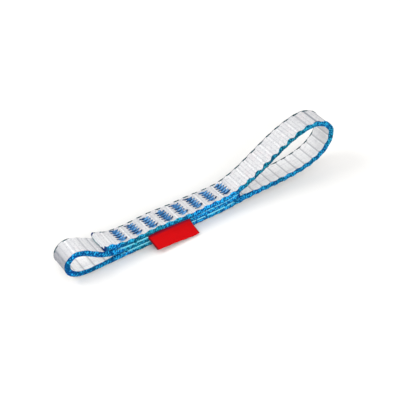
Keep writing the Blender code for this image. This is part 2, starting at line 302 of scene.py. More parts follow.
def tape_piece(name, s0, s1, cut0, cut1, mat):
    """The woven tape from run s0 to s1, as one closed mesh."""
    y0, z0, ny, nz, f = RING
    st = stations(s0, s1)
    if cut0:
        st = [s0 + d for d in (0.0, 0.05, 0.12, 0.22, 0.34, 0.5)] \
            + [s for s in st if s > s0 + 0.6]
    if cut1:
        st = [s for s in st if s < s1 - 0.6] \
            + [s1 - d for d in (0.5, 0.34, 0.22, 0.12, 0.05, 0.0)]
    st = np.array(st)
    s = st[:, None]
    u = phase(st)[:, None]
    n, m = len(st), len(y0)
    Y, Z, NY, NZ, F = [np.broadcast_to(v[None], (n, m)) for v in
                       (y0, z0, ny, nz, f)]
    S = np.broadcast_to(s, (n, m))
    U = np.broadcast_to(u, (n, m))

    far = np.abs(Y)
    ground = 1 - smooth(far, 4.6, 5.3)           # woven face
    border = smooth(far, 4.55, 5.25)             # edge yarns
    rise = woven(S, U, Y, F) * ground
    la, lb = lobe_of(off_repeat(U)), lobe_of(off_repeat(U + 0.5))
    side = np.clip(F, 0, 1) * la + np.clip(-F, 0, 1) * lb
    strand = np.cos(2 * np.pi * (S / 1.42 + 0.62 * F * np.sign(Y)))
    size = lobe_size(S)
    near = np.where(Y < 0, 1.0, 0.5)
    press = sewn(S)
    round_bend = smooth(S, 112, 126) * (1 - smooth(S, 146, 158))
    bold = (np.where(F > 0, 0.36, 0.22) * (1 - 0.45 * press)
            * (1 - 0.5 * round_bend))
    rising = smooth(S, 76, 86) * (1 - smooth(S, 108, 118))
    under = (0.03 * rising * np.clip(-F, 0, 1)
             + 0.16 * smooth(S, 188, 200) * (1 - smooth(S, 258, 268))
             * np.clip(F, 0, 1)
             + 0.40 * smooth(S, 258, 268) * (1 - smooth(S, 284, 292))
             * np.clip(F, 0, 1))
    edge = (0.20 - 0.20 * size - under
            + round_bend * np.where(F > 0, 0.36, -0.12)
            + bold * side * size * near
            + 0.045 * strand * (0.3 + 0.7 * size)
            + 0.10 * (1 - np.abs(F)) * (la + lb) * size)
    # between two layers the edges are pressed flat against each other
    lower = (S > 150) & (S < 300)
    middle = S > 300
    face_up = np.where(lower, -F, F)
    facing = np.where(middle, np.abs(F), np.where(lower, face_up, -face_up))
    shut = smooth(facing, 0.1, 0.5) * press
    edge = edge * (1 - shut) + shut * (0.13 + 0.04 * strand)
    near_by = np.maximum(np.maximum(
        1 - smooth(S, 74, 80), smooth(S, 190, 198) * (1 - smooth(S, 268, 276))),
        smooth(S, 319, 326))
    covered = smooth(facing, -0.2, 0.25) * near_by
    # painted highlight: a pale line along the edges where the sewn layers meet
    seam = smooth(face_up, 0.64, 0.90) * np.where(
        middle, smooth(S, 325, 331),
        smooth(S, 200, 208) * (1 - smooth(S, 260, 268)) * lower)
    rise = rise + edge * border
    on, dx = pull(S)
    dx = dx + Y * math.tan(TACK_SKEW)
    outer = np.clip(F, 0, 1)
    rise = rise - on * outer * dimple(dx) * (1 - smooth(far, 4.3, 5.2))
    ys = Y + NY * rise
    zs = Z + NZ * rise
    ends = np.zeros(n)
    for flag, end in ((cut0, s0), (cut1, s1)):
        if flag:
            d = np.clip(np.abs(st - end) / 0.5, 0, 1)
            r = np.sqrt(1 - (1 - d) ** 2)
            zs = zs * (0.74 + 0.26 * r)[:, None]
            ys = ys * (0.965 + 0.035 * r)[:, None]
            ends = np.maximum(ends, 1 - smooth(np.abs(st - end), 0.3, 0.7))
    ends = np.broadcast_to(ends[:, None], (n, m)).copy()
    for flag, end in ((cut0, s0), (cut1, s1)):
        if flag:
            ends = np.maximum(ends, (1 - smooth(np.abs(S - end), 0.8, 2.0))
                              * smooth(far, 5.3, 5.7))

    near_y, far_y = sides(st)
    mid_y, half_y = (near_y + far_y) / 2, (far_y - near_y) / 2
    ys = mid_y[:, None] + ys * (half_y / HALF_W)[:, None]

    cx, cz = centre(st)
    tx, tz = heading(st)
    px = cx[:, None] - tz[:, None] * zs
    pz = cz[:, None] + tx[:, None] * zs
    if cut0 or cut1:
        # a hand-cut end: not quite square and a little wavy
        for flag, end, sign in ((cut0, s0, -1.0), (cut1, s1, 1.0)):
            if flag:
                w = 1 - smooth(np.abs(st - end), 0.0, 3.0)[:, None]
                slip = w * sign * (0.12 * np.sin(Y * 0.9) + 0.06 * np.cos(Y * 2.3)
                                   + 0.06 * (Y - HALF_W) - 0.30)
                px = px + tx[:, None] * slip
                pz = pz + tz[:, None] * slip
    if cut0:
        lift = 0.7 * np.clip((Y + HALF_W) / (2 * HALF_W), 0, 1) ** 1.4 \
            * (1 - smooth(S, s0 - 1.0, s0 + 7.5)) ** 1.2
        pz = pz + lift
        px = px + 0.10 * lift
    co = np.stack([px, ys, pz], -1).reshape(-1, 3)
    caps = []
    for i in (0, n - 1):
        caps.append(co[i * m:(i + 1) * m].mean(0))
    co = np.vstack([co, caps])
    co = (co - ORIGIN) * MM

    i = np.arange(n - 1)[:, None] * m
    j = np.arange(m)[None]
    k = (j + 1) % m
    quads = np.stack([i + j, i + k, i + m + k, i + m + j], -1).reshape(-1, 4)
    a, b = n * m, n * m + 1
    first = np.stack([np.full(m, a), np.arange(m), (np.arange(m) + 1) % m], -1)[:, ::-1]
    last = np.stack([np.full(m, b), (n - 1) * m + np.arange(m),
                     (n - 1) * m + (np.arange(m) + 1) % m], -1)
    faces = [tuple(q) for q in quads[:, ::-1].tolist()] \
        + [tuple(t) for t in first[:, ::-1].tolist()] \
        + [tuple(t) for t in last[:, ::-1].tolist()]
    ob = new_mesh(name, co, faces, mat)
    extra = np.zeros(2)

    def put(key, values, caps_value=None):
        at = ob.data.attributes.new(key, 'FLOAT', 'POINT')
        tail = extra if caps_value is None else np.array(caps_value)
        at.data.foreach_set("value", np.concatenate(
            [np.asarray(values, float).ravel(), tail]).astype(np.float32))
    put("tape_run", S, [s0, s1])
    put("tape_repeat", U, [u[0, 0], u[-1, 0]])
    put("tape_across", Y)
    put("tape_face", F)
    put("tape_end", ends, [1.0 if cut0 else 0.0, 1.0 if cut1 else 0.0])
    put("tape_line", groove_strength(S))
    put("tape_teal", np.clip(teal_share(S), 0, 1))
    put("tape_depth", np.clip(depth_share(S), 0, 1))
    put("tape_sewn", sewn(S))
    put("tape_bead", lobe_size(S))
    put("tape_shut", covered)
    put("tape_seam_highlight", seam)
    put("tape_rising", rising)
    put("tape_faint", smooth(S, 304, 307) * (1 - smooth(S, 324, 330)))
    # painted shade: the near edge's lower side in the sewn stack, where it turns under,
    # and the small loop's left turn
    put("tape_under_shade", smooth(-face_up, 0.0, 0.65) * press * (Y < 0)
        + 0.55 * bell(S - 296.0, 5.5))
    # painted shade: the outer face darker round the small loop's left turn and a little at
    # the large loop's top, the inner face darker at the large loop's bight and along its
    # lower run towards the stack
    put("tape_painted_shade", np.where(F > 0, 1.30 * bell(S - 296.0, 5.4)
                              + 0.14 * bell(S - 121.0, 9.0),
                              0.40 * bell(S - 138.0, 11.0)
                              + 0.12 * bell(S - 190.0, 12.0)))
    return ob


def new_mesh(name, co, faces, mat, smooth_shade=True):
    me = bpy.data.meshes.new(name)
    me.from_pydata([tuple(c) for c in co], [], faces)
    me.update()
    ob = bpy.data.objects.new(name, me)
    bpy.context.scene.collection.objects.link(ob)
    me.materials.append(mat)
    if smooth_shade:
        me.shade_smooth()
    outward(ob)
    return ob


def outward(ob):
    """Turn the faces round if the closed mesh came out inside out."""
    me = ob.data
    n = len(me.loop_triangles) if me.loop_triangles else 0
    me.calc_loop_triangles()
    n = len(me.loop_triangles)
    tri = np.zeros(n * 3, np.int32)
    me.loop_triangles.foreach_get("vertices", tri)
    co = np.zeros(len(me.vertices) * 3, np.float32)
    me.vertices.foreach_get("co", co)
    co = co.reshape(-1, 3).astype(float)
    a, b, c = (co[tri.reshape(-1, 3)[:, k]] for k in range(3))
    if np.einsum('ij,ij->i', a, np.cross(b, c)).sum() < 0:
        me.flip_normals()


# ------------------------------------------------------------------ materials
class Net:
    """Short ways to write a material's node sums."""

    def __init__(self, name):
        self.mat = bpy.data.materials.new(name)
        self.mat.use_nodes = True
        self.t = self.mat.node_tree
        self.out = self.t.nodes["Material Output"]
        self.shader = self.t.nodes["Principled BSDF"]

    def link(self, value, socket):
        if isinstance(value, bpy.types.NodeSocket):
            self.t.links.new(value, socket)
        else:
            socket.default_value = value

    def attr(self, name):
        n = self.t.nodes.new("ShaderNodeAttribute")
        n.attribute_type = 'GEOMETRY'
        n.attribute_name = name
        return n.outputs["Fac"]

    def op(self, kind, a, b=None, c=None, clamp=False):
        n = self.t.nodes.new("ShaderNodeMath")
        n.operation = kind
        n.use_clamp = clamp
        for k, v in enumerate((a, b, c)):
            if v is not None:
                self.link(v, n.inputs[k])
        return n.outputs[0]

    def add(self, a, b): return self.op('ADD', a, b)
    def sub(self, a, b): return self.op('SUBTRACT', a, b)
    def mul(self, a, b): return self.op('MULTIPLY', a, b)

    def ramp(self, x, a, b, lo=0.0, hi=1.0):
        n = self.t.nodes.new("ShaderNodeMapRange")
        n.interpolation_type = 'SMOOTHSTEP'
        self.link(x, n.inputs["Value"])
        n.inputs["From Min"].default_value = a
        n.inputs["From Max"].default_value = b
        n.inputs["To Min"].default_value = lo
        n.inputs["To Max"].default_value = hi
        return n.outputs["Result"]

    def mix(self, fac, a, b):
        n = self.t.nodes.new("ShaderNodeMix")
        n.data_type = 'RGBA'
        self.link(fac, n.inputs[0])
        for v, s in ((a, n.inputs[6]), (b, n.inputs[7])):
            if isinstance(v, tuple):
                s.default_value = (*v, 1.0)
            else:
                self.t.links.new(v, s)
        return n.outputs[2]

    def noise(self, scale, detail=2.0, stretch=(1, 1, 1)):
        c = self.t.nodes.new("ShaderNodeTexCoord")
        m = self.t.nodes.new("ShaderNodeMapping")
        m.inputs["Scale"].default_value = stretch
        n = self.t.nodes.new("ShaderNodeTexNoise")
        n.inputs["Scale"].default_value = scale
        n.inputs["Detail"].default_value = detail
        self.t.links.new(c.outputs["Object"], m.inputs[0])
        self.t.links.new(m.outputs[0], n.inputs["Vector"])
        return n.outputs["Fac"]

    def bump(self, height, distance, strength=1.0):
        n = self.t.nodes.new("ShaderNodeBump")
        n.inputs["Strength"].default_value = strength
        n.inputs["Distance"].default_value = distance
        self.t.links.new(height, n.inputs["Height"])
        self.t.links.new(n.outputs["Normal"], self.shader.inputs["Normal"])


def webbing_material(name):
    """White woven ground, blue edge yarns, heat-sealed cut ends."""
    n = Net(name)
    s, u = n.attr("tape_run"), n.attr("tape_repeat")
    y, f = n.attr("tape_across"), n.attr("tape_face")
    end, line = n.attr("tape_end"), n.attr("tape_line")
    back = n.op('LESS_THAN', f, 0.0)
    v = n.add(u, n.mul(back, 0.5))
    d = n.mul(n.sub(v, n.op('ROUND', v)), PITCH)     # mm from a cross groove
    ad = n.op('ABSOLUTE', d)
    reach = n.op('SUBTRACT', HALF_W, n.op('ABSOLUTE', y))
    cosine = n.op('COSINE', n.mul(d, math.pi / 2.3))
    loop = n.mul(n.add(n.mul(cosine, 0.5), 0.5), n.op('LESS_THAN', ad, 2.3))
    loop = n.op('POWER', n.op('MAXIMUM', loop, 0.0), 0.7)
    far = n.op('GREATER_THAN', y, 0.0)
    sewn_in = n.attr("tape_sewn")
    ply = n.op('SINE', n.mul(n.add(s, n.mul(reach, 0.7)), 2 * math.pi / 0.71))
    speck = n.noise(1500.0, 2.0)
    df = n.sub(v, n.sub(0.17, n.mul(back, 0.12)))
    df = n.mul(n.sub(df, n.op('ROUND', df)), PITCH)
    dash = n.ramp(n.op('ABSOLUTE', df), 1.75, 1.25)
    bead, shut = n.attr("tape_bead"), n.attr("tape_shut")
    deep_in = n.sub(n.sub(0.50, n.mul(back, 0.22)), n.mul(sewn_in, 0.14))
    plain = n.sub(1.0, bead)
    near_limit = n.add(n.add(0.44, n.mul(back, 0.10)),
                       n.add(n.mul(n.mul(loop, bead), deep_in),
                             n.mul(plain, 0.26)))
    near_limit = n.sub(near_limit, n.mul(n.attr("tape_rising"),
                                         n.sub(0.27, n.mul(loop, 0.12))))
    near_limit = n.add(near_limit, n.mul(shut, 1.0))
    near_limit = n.add(near_limit, n.mul(back, n.ramp(s, 11.0, 6.0, 0.0, 1.6)))
    far_limit = n.add(n.sub(0.66, n.mul(sewn_in, 0.38)),
                      n.mul(dash, n.add(0.46, n.mul(sewn_in, 0.34))))
    far_limit = n.sub(far_limit, n.mul(n.attr("tape_faint"), 0.50))
    limit = n.add(n.mul(near_limit, n.sub(1.0, far)), n.mul(far_limit, far))
    limit = n.add(limit,
                  n.add(n.mul(ply, 0.05), n.mul(n.sub(speck, 0.5), 0.30)))
    blue = n.ramp(n.sub(limit, reach), -0.05, 0.08)

    # white ground
    fine = n.op('ABSOLUTE', n.op('COSINE', n.mul(y, math.pi / 0.53)))
    weft = n.op('ABSOLUTE', n.op('COSINE', n.mul(s, math.pi / 0.45)))
    thread = n.mul(fine, n.add(0.6, n.mul(weft, 0.4)))
    cloud = n.noise(420.0, 3.0)
    white = n.mix(n.ramp(thread, 0.0, 0.75), (0.60, 0.605, 0.615),
                  (0.79, 0.792, 0.80))
    white = n.mix(n.mul(sewn_in, 0.50), white, (0.57, 0.58, 0.59))
    white = n.mix(n.mul(n.ramp(cloud, 0.35, 0.75), 0.35), white,
                  (0.66, 0.65, 0.68))
    tint = n.noise(260.0, 2.0)
    white = n.mix(n.mul(n.ramp(tint, 0.50, 0.72), 0.5), white,
                  (0.80, 0.735, 0.745))
    # painted light: the inner faces are made lighter, most round the small loop's tight
    # turn, standing in for light that reaches inside the loops
    white = n.mix(n.mul(back, n.add(0.55, n.mul(n.sub(1.0, bead), 0.5))),
                  white, (0.99, 0.99, 0.99))
    fold = n.op('ABSOLUTE', n.op('COSINE', n.mul(d, math.pi / 1.75)))
    row = n.op('ROUND', n.op('DIVIDE', n.sub(d, 0.875), 1.75))
    dots = n.op('COSINE', n.mul(n.add(n.op('DIVIDE', y, 1.3),
                                      n.mul(row, 0.5)), 2 * math.pi))
    rows = n.mul(n.ramp(fold, 0.46, 0.0), n.add(0.42, n.mul(dots, 0.45)))
    patchy = n.ramp(n.noise(520.0, 1.0), 0.36, 0.62, 0.35, 1.0)
    white = n.mix(n.mul(n.mul(rows, patchy), n.sub(0.95, n.mul(back, 0.60))),
                  white, (0.32, 0.325, 0.36))
    # painted shade: the white ground darkened on turns that face away from the light and
    # inside the large loop
    white = n.mix(n.mul(n.attr("tape_painted_shade"), 0.80), white,
                  (0.24, 0.25, 0.28))
    aside = n.op('ABSOLUTE', n.sub(d, n.mul(n.sub(1.0, back), 0.45)))
    shade = n.add(n.mul(n.ramp(ad, 0.72, 0.08), n.mul(back, 0.50)),
                  n.mul(n.mul(n.ramp(aside, 0.78, 0.15), line),
                        n.mul(n.sub(1.0, back), 0.95)))
    white = n.mix(n.op('MINIMUM', shade, 0.90), white, (0.25, 0.265, 0.30))
    # painted shade: a faint grey line just past each crest on the outer face
    hollow = n.ramp(n.op('ABSOLUTE', n.sub(d, 0.95)), 0.45, 0.10)
    white = n.mix(n.mul(n.mul(hollow, n.sub(1.0, back)), 0.24), white,
                  (0.42, 0.43, 0.46))
    # painted highlight: a light line along each cross rib's crest, fainter where the cross
    # lines are strong
    crest_highlight = n.mul(n.ramp(n.op('ABSOLUTE', n.sub(d, n.mul(back, 0.85))), 0.42,
                         0.14), n.op('MAXIMUM', n.sub(0.56, n.mul(line, 1.6)),
                                     n.mul(back, 0.7)))
    white = n.mix(crest_highlight, white, (0.93, 0.935, 0.94))
    streak = n.noise(900.0, 3.0, (0.12, 1.0, 1.0))
    white = n.mix(n.mul(n.ramp(streak, 0.48, 0.70), 0.34), white,
                  (0.50, 0.50, 0.54))
    grain = n.noise(1250.0, 1.0)
    white = n.mix(n.mul(n.ramp(grain, 0.50, 0.68), n.sub(0.36, n.mul(back, 0.22))),
                  white, (0.42, 0.42, 0.455))
    # painted light and shade: inner faces are darkened a little more up to partway along
    # the large loop's lower run, and less after it
    inner = n.mul(back, n.sub(0.03, n.ramp(s, 174.0, 194.0, 0.0, 0.10)))
    white = n.mix(n.add(0.02, n.mul(bead, n.add(0.065, inner))),
                  white, (0.0, 0.0, 0.0))
    cut_end_shadow = n.mul(end, n.ramp(f, -0.55, -0.95))
    white = n.mix(n.mul(end, 0.30), white, (0.62, 0.66, 0.68))
    # painted shadow: a dark teal line along a cut end's underside edge, where it meets the
    # tape beneath
    white = n.mix(cut_end_shadow, white, (0.05, 0.20, 0.26))

    # edge yarns: short slanted strands, with a painted highlight on the beads' crowns
    sign = n.sub(n.mul(far, 2.0), 1.0)
    slant = n.add(n.op('DIVIDE', s, 1.42), n.mul(n.mul(f, 0.62), sign))
    strand = n.add(n.mul(n.op('COSINE', n.mul(slant, 2 * math.pi)), 0.5), 0.5)
    mottle = n.noise(1100.0, 3.0)
    broad = n.noise(420.0, 2.0)
    # painted highlight: lighter over each bead's crown
    crown_highlight = n.mul(loop, n.ramp(f, -0.2, 0.6))
    tone = n.add(n.mul(strand, 0.46),
                 n.add(n.mul(n.ramp(mottle, 0.42, 0.60), 0.74),
                       n.mul(crown_highlight, 0.16)))
    tone = n.add(n.sub(tone, 0.07), n.mul(n.sub(broad, 0.5), 1.2))
    tone = n.sub(tone, n.mul(n.attr("tape_rising"), 0.12))
    tone = n.sub(tone, n.mul(plain, 0.10))
    tone = n.sub(tone, n.mul(n.attr("tape_depth"), 0.08))
    # painted shade: the blue edge darkened on its lower side in the sewn stack and round
    # the small loop's left turn
    tone = n.sub(tone, n.mul(n.attr("tape_under_shade"), 0.34))
    azure = n.mix(n.ramp(tone, 0.18, 1.20), (0.0, 0.050, 0.215),
                  (0.020, 0.43, 0.86))
    teal = n.mix(n.ramp(tone, 0.18, 1.20), (0.0, 0.062, 0.120),
                 (0.024, 0.34, 0.48))
    drift = n.noise(190.0, 1.0)
    hue = n.add(n.attr("tape_teal"), n.mul(n.sub(drift, 0.42), 1.6))
    edge = n.mix(n.op('MINIMUM', n.op('MAXIMUM', hue, 0.0), 1.0), azure, teal)
    dark = n.mix(n.ramp(tone, 0.25, 0.95), (0.003, 0.028, 0.040),
                 (0.010, 0.080, 0.100))
    edge = n.mix(n.mul(far, n.ramp(n.op('ABSOLUTE', f), 0.2, 0.75)), edge, dark)
    broken = n.noise(330.0, 1.0)
    run_on = n.ramp(n.add(n.sub(1.0, loop), n.mul(n.sub(broken, 0.5), 1.6)),
                    -0.10, 0.10)
    # painted highlight: pale cyan dashes on the near edge where the sewn layers meet
    pale = n.mul(n.mul(n.attr("tape_seam_highlight"), n.sub(1.0, far)), run_on)
    edge = n.mix(n.mul(pale, 0.96), edge, (0.28, 0.86, 1.0))
    edge = n.mix(n.mul(end, 0.95), edge, (0.004, 0.020, 0.12))
    colour = n.mix(blue, white, edge)
    n.link(colour, n.shader.inputs["Base Color"])
    n.link(n.ramp(blue, 0.0, 1.0, 0.80, 0.60), n.shader.inputs["Roughness"])
    n.link(n.ramp(blue, 0.0, 1.0, 0.10, 0.03),
           n.shader.inputs["Specular IOR Level"])
    n.link(n.ramp(blue, 0.0, 1.0, 0.5, 0.0),
           n.shader.inputs["Subsurface Weight"])
    n.shader.inputs["Subsurface Radius"].default_value = (1.0, 1.0, 1.0)
    n.shader.inputs["Subsurface Scale"].default_value = 0.0016
    height = n.add(n.mul(thread, n.sub(1.0, blue)),
                   n.mul(n.add(n.mul(ply, 0.35), speck), blue))
    n.bump(height, 0.00006, 0.55)
    return n.mat


def thread_material(name):
    """Twisted sewing thread in mid blue, lighter and darker strand by strand."""
    n = Net(name)
    run, tone = n.attr("thread_run"), n.attr("thread_tone")
    around = n.attr("thread_around")
    twist = n.op('SINE', n.mul(n.add(n.op('DIVIDE', run, 0.55), around),
                               2 * math.pi))
    speck = n.noise(2600.0, 2.0)
    tip = n.attr("thread_tip")
    t = n.add(tone, n.add(n.mul(twist, 0.16), n.mul(n.sub(speck, 0.5), 0.5)))
    t = n.sub(t, n.mul(tip, 0.55))
    colour = n.mix(n.ramp(t, 0.0, 0.55), (0.004, 0.034, 0.110),
                   (0.034, 0.175, 0.420))
    colour = n.mix(n.ramp(t, 0.55, 1.05), colour, (0.17, 0.43, 0.76))
    n.link(colour, n.shader.inputs["Base Color"])
    n.shader.inputs["Roughness"].default_value = 0.5
    n.shader.inputs["Specular IOR Level"].default_value = 0.15
    n.shader.inputs["Sheen Weight"].default_value = 0.04
    n.bump(twist, 0.00004, 0.5)
    return n.mat


def ribbon_material(name):
    """Close-woven red ribbon, its cut ends fused and darker, with painted shade near its
    root under the tape's edge.
    """
    n = Net(name)
    a, b = n.attr("ribbon_across"), n.attr("ribbon_run")
    edge = n.attr("ribbon_edge")
    warp = n.op('ABSOLUTE', n.op('SINE', n.mul(a, math.pi / 0.34)))
    weft = n.op('ABSOLUTE', n.op('SINE', n.mul(b, math.pi / 0.30)))
    cloth = n.add(n.mul(warp, 0.5), n.mul(weft, 0.5))
    cloud = n.noise(300.0, 3.0)
    red = n.mix(n.add(n.mul(cloth, 0.6), n.mul(cloud, 0.35)),
                (0.38, 0.0010, 0.0024), (0.63, 0.0018, 0.0038))
    # painted shade near the tab's root
    root_shade_mask = n.attr("ribbon_root_shade")
    red = n.mix(n.mul(root_shade_mask, 0.75), red, (0.10, 0.002, 0.020))
    red = n.mix(n.ramp(edge, 0.45, 1.0), red, (0.16, 0.001, 0.006))
    n.link(red, n.shader.inputs["Base Color"])
    n.shader.inputs["Roughness"].default_value = 0.5
    n.shader.inputs["Specular IOR Level"].default_value = 0.05
    n.bump(cloth, 0.00005, 0.5)
    return n.mat


# ------------------------------------------------------------------ bar tacks
def tube(paths, radius, sides=7):
    """Round threads along 3-D paths: vertices, faces and run/around values."""
    co, faces, run, around, tone = [], [], [], [], []
    for pts, up, t in paths:
        p = np.array(pts, float)
        n = len(p)
        tan = np.gradient(p, axis=0)
        tan /= np.linalg.norm(tan, axis=1)[:, None]
        b = np.cross(tan, np.array(up))
        b /= np.maximum(np.linalg.norm(b, axis=1), 1e-6)[:, None]
        c = np.cross(b, tan)
        base = len(co)
        ln = np.concatenate([[0], np.cumsum(np.linalg.norm(
            np.diff(p, axis=0), axis=1))])
        r = np.full(n, radius)
        r[0] *= 0.5
        r[-1] *= 0.5
        for i in range(n):
            for k in range(sides):
                a = 2 * math.pi * k / sides
                co.append(p[i] + r[i] * (math.cos(a) * b[i]
                                         + math.sin(a) * c[i]))
                run.append(ln[i])
                around.append(k / sides)
                tone.append(t)
        for i in range(n - 1):
            for k in range(sides):
                q = (k + 1) % sides
                faces.append((base + i * sides + k, base + i * sides + q,
                              base + (i + 1) * sides + q,
                              base + (i + 1) * sides + k))
        faces.append(tuple(base + k for k in reversed(range(sides))))
        faces.append(tuple(base + (n - 1) * sides + k for k in range(sides)))
    return co, faces, run, around, tone


def tack_threads(index, upper):
    """One bar tack's thread on one side: close zigzag passes whose reach
    rises and falls, so that both sides are toothed, over a few long
    underlay stitches, with its tie-off at the near end."""
    rng = np.random.default_rng(100 + index * 2 + (0 if upper else 1))
    x = TACK_FIRST + TACK_PITCH * index
    s = run_at_x(x, 0, 90) if upper else run_at_x(x, 190, 275)
    cx, cz = centre(s)
    tx, tz = heading(s)
    # local axes: along the tape (+X), across (+Y), out of the tape
    along = np.array([tx, 0.0, tz]) * (1 if upper else -1)
    out = np.array([-tz, 0.0, tx])
    across = np.array([0.0, 1.0, 0.0])
    ca, sa = math.cos(TACK_SKEW), math.sin(TACK_SKEW)
    ax = along * ca + across * sa
    ay = across * ca - along * sa
    base = np.array([cx, TAPE_Y + 0.28, cz]) + out * (HALF_T - DIMPLE + 0.04)

    def place(u, v, h):
        lift = DIMPLE - float(dimple(np.array(u)))
        return base + ax * u + ay * v + out * (h + lift)

    length = 8.5 + rng.uniform(-0.25, 0.25)
    tooth = 1.66
    shift = rng.uniform(0, 1)
    flip = 1.0 if upper else -1.0

    def slant(uu):
        return uu * (0.38 if uu * flip > 0 else -0.12) * flip

    lean_far = 0.25 + 0.3 * rng.random()
    lean_near = 0.2 + 0.3 * rng.random()
    paths = []

    def mid(v):
        return flip * (float(smooth(-v, 2.4, 3.7)) * lean_near
                       - float(smooth(v, 2.8, 4.3)) * lean_far)

    def reach(v, ph, least, most, power):
        t = ((v / tooth) + ph) % 1.0
        return max(0.05, least + most * (1 - abs(2 * t - 1)) ** power)

    for h, dv, off in ((0.18, 0.36, 0.0), (0.33, 0.42, 0.17)):
        v, k = -length / 2 + off + 0.36, 0
        while v < length / 2:
            left = reach(v, shift + 0.45, -0.45, 3.45, 1.05) \
                + rng.uniform(-0.15, 0.2)
            right = reach(v, shift, 0.20, 2.85, 0.9) + rng.uniform(-0.2, 0.2)
            left = max(left, 0.1)
            right = max(right * (1 - 0.5 * float(smooth(v, 2.6, 4.2))), 0.1)
            wave = math.cos(2 * math.pi * (v / tooth + shift) + 0.8)
            tone = 0.50 - 0.35 * wave + 0.75 * (rng.random() - 0.5)
            pts = []
            for t in np.linspace(-1, 1, 13):
                uu = t * (left if t < 0 else right)
                hh = h * (1 - abs(t) ** 2.6) - 0.26 * abs(t) ** 10 + 0.06
                pts.append(place(mid(v) + uu, v - 0.25 + slant(uu)
                                 + 0.04 * math.sin(5 * t + k), hh))
            paths.append((pts, out, tone))
            v += dv + rng.uniform(-0.06, 0.06)
            k += 1
    for uu in (-0.8, -0.3, 0.3, 0.8):
        pts = [place(mid(v) + uu + 0.05 * math.sin(3 * v), v,
                     0.08 - 0.25 * abs(2 * v / length) ** 8)
               for v in np.linspace(-length / 2 + 0.28, length / 2, 13)]
        paths.append((pts, out, 0.35))
    # tie-off: a few short darker stitches beside the near end, each time
    # in a slightly different place
    apart = (0.0, 0.1, 0.3, 0.5, 0.9, 0.6, 0.9, 0.4)[index]
    for k in range(2):
        v0 = -length / 2 + 0.55 + 0.34 * k
        u0 = flip * (0.7 + 0.8 * apart + 0.3 * rng.random())
        u1 = u0 + flip * (1.1 + 0.6 * rng.random())
        pts = [place(u0 + (u1 - u0) * t, v0 - 0.25
                     + 0.38 * flip * (u1 - u0) * t,
                     0.06 + 0.30 * (1 - abs(2 * t - 1) ** 3)
                     - 0.22 * abs(2 * t - 1) ** 8)
               for t in np.linspace(0, 1, 9)]
        paths.append((pts, out, 0.0 + 0.3 * rng.random()))
    co, faces, run, around, tone = tube(paths, 0.185)
    u = (np.array(co) - base) @ ax
    v = (np.array(co) - base) @ ay
    tip = smooth(np.abs(u), 1.3, 2.3) * (np.abs(v) < length / 2)
    co = (np.array(co) - ORIGIN) * MM
    kind = "needle" if upper else "bobbin"
    ob = new_mesh(f"stitching_{index + 1}_{kind}", co, faces, THREAD)
    for key, values in (("thread_run", run), ("thread_around", around),
                        ("thread_tone", tone), ("thread_tip", tip)):
        at = ob.data.attributes.new(key, 'FLOAT', 'POINT')
        at.data.foreach_set("value", np.array(values, np.float32))
    return ob


# ------------------------------------------------------------------ red tab
TAB_X0, TAB_X1 = 23.3, 46.0
TAB_SHEAR = 1.3                  # the fold lies a little further along
TAB_Z = Z_MID + (Z_TOP - Z_MID) / 2
ROOT_Y = -4.95                   # where it leaves the gap and turns down
TAIL_Y = -1.8


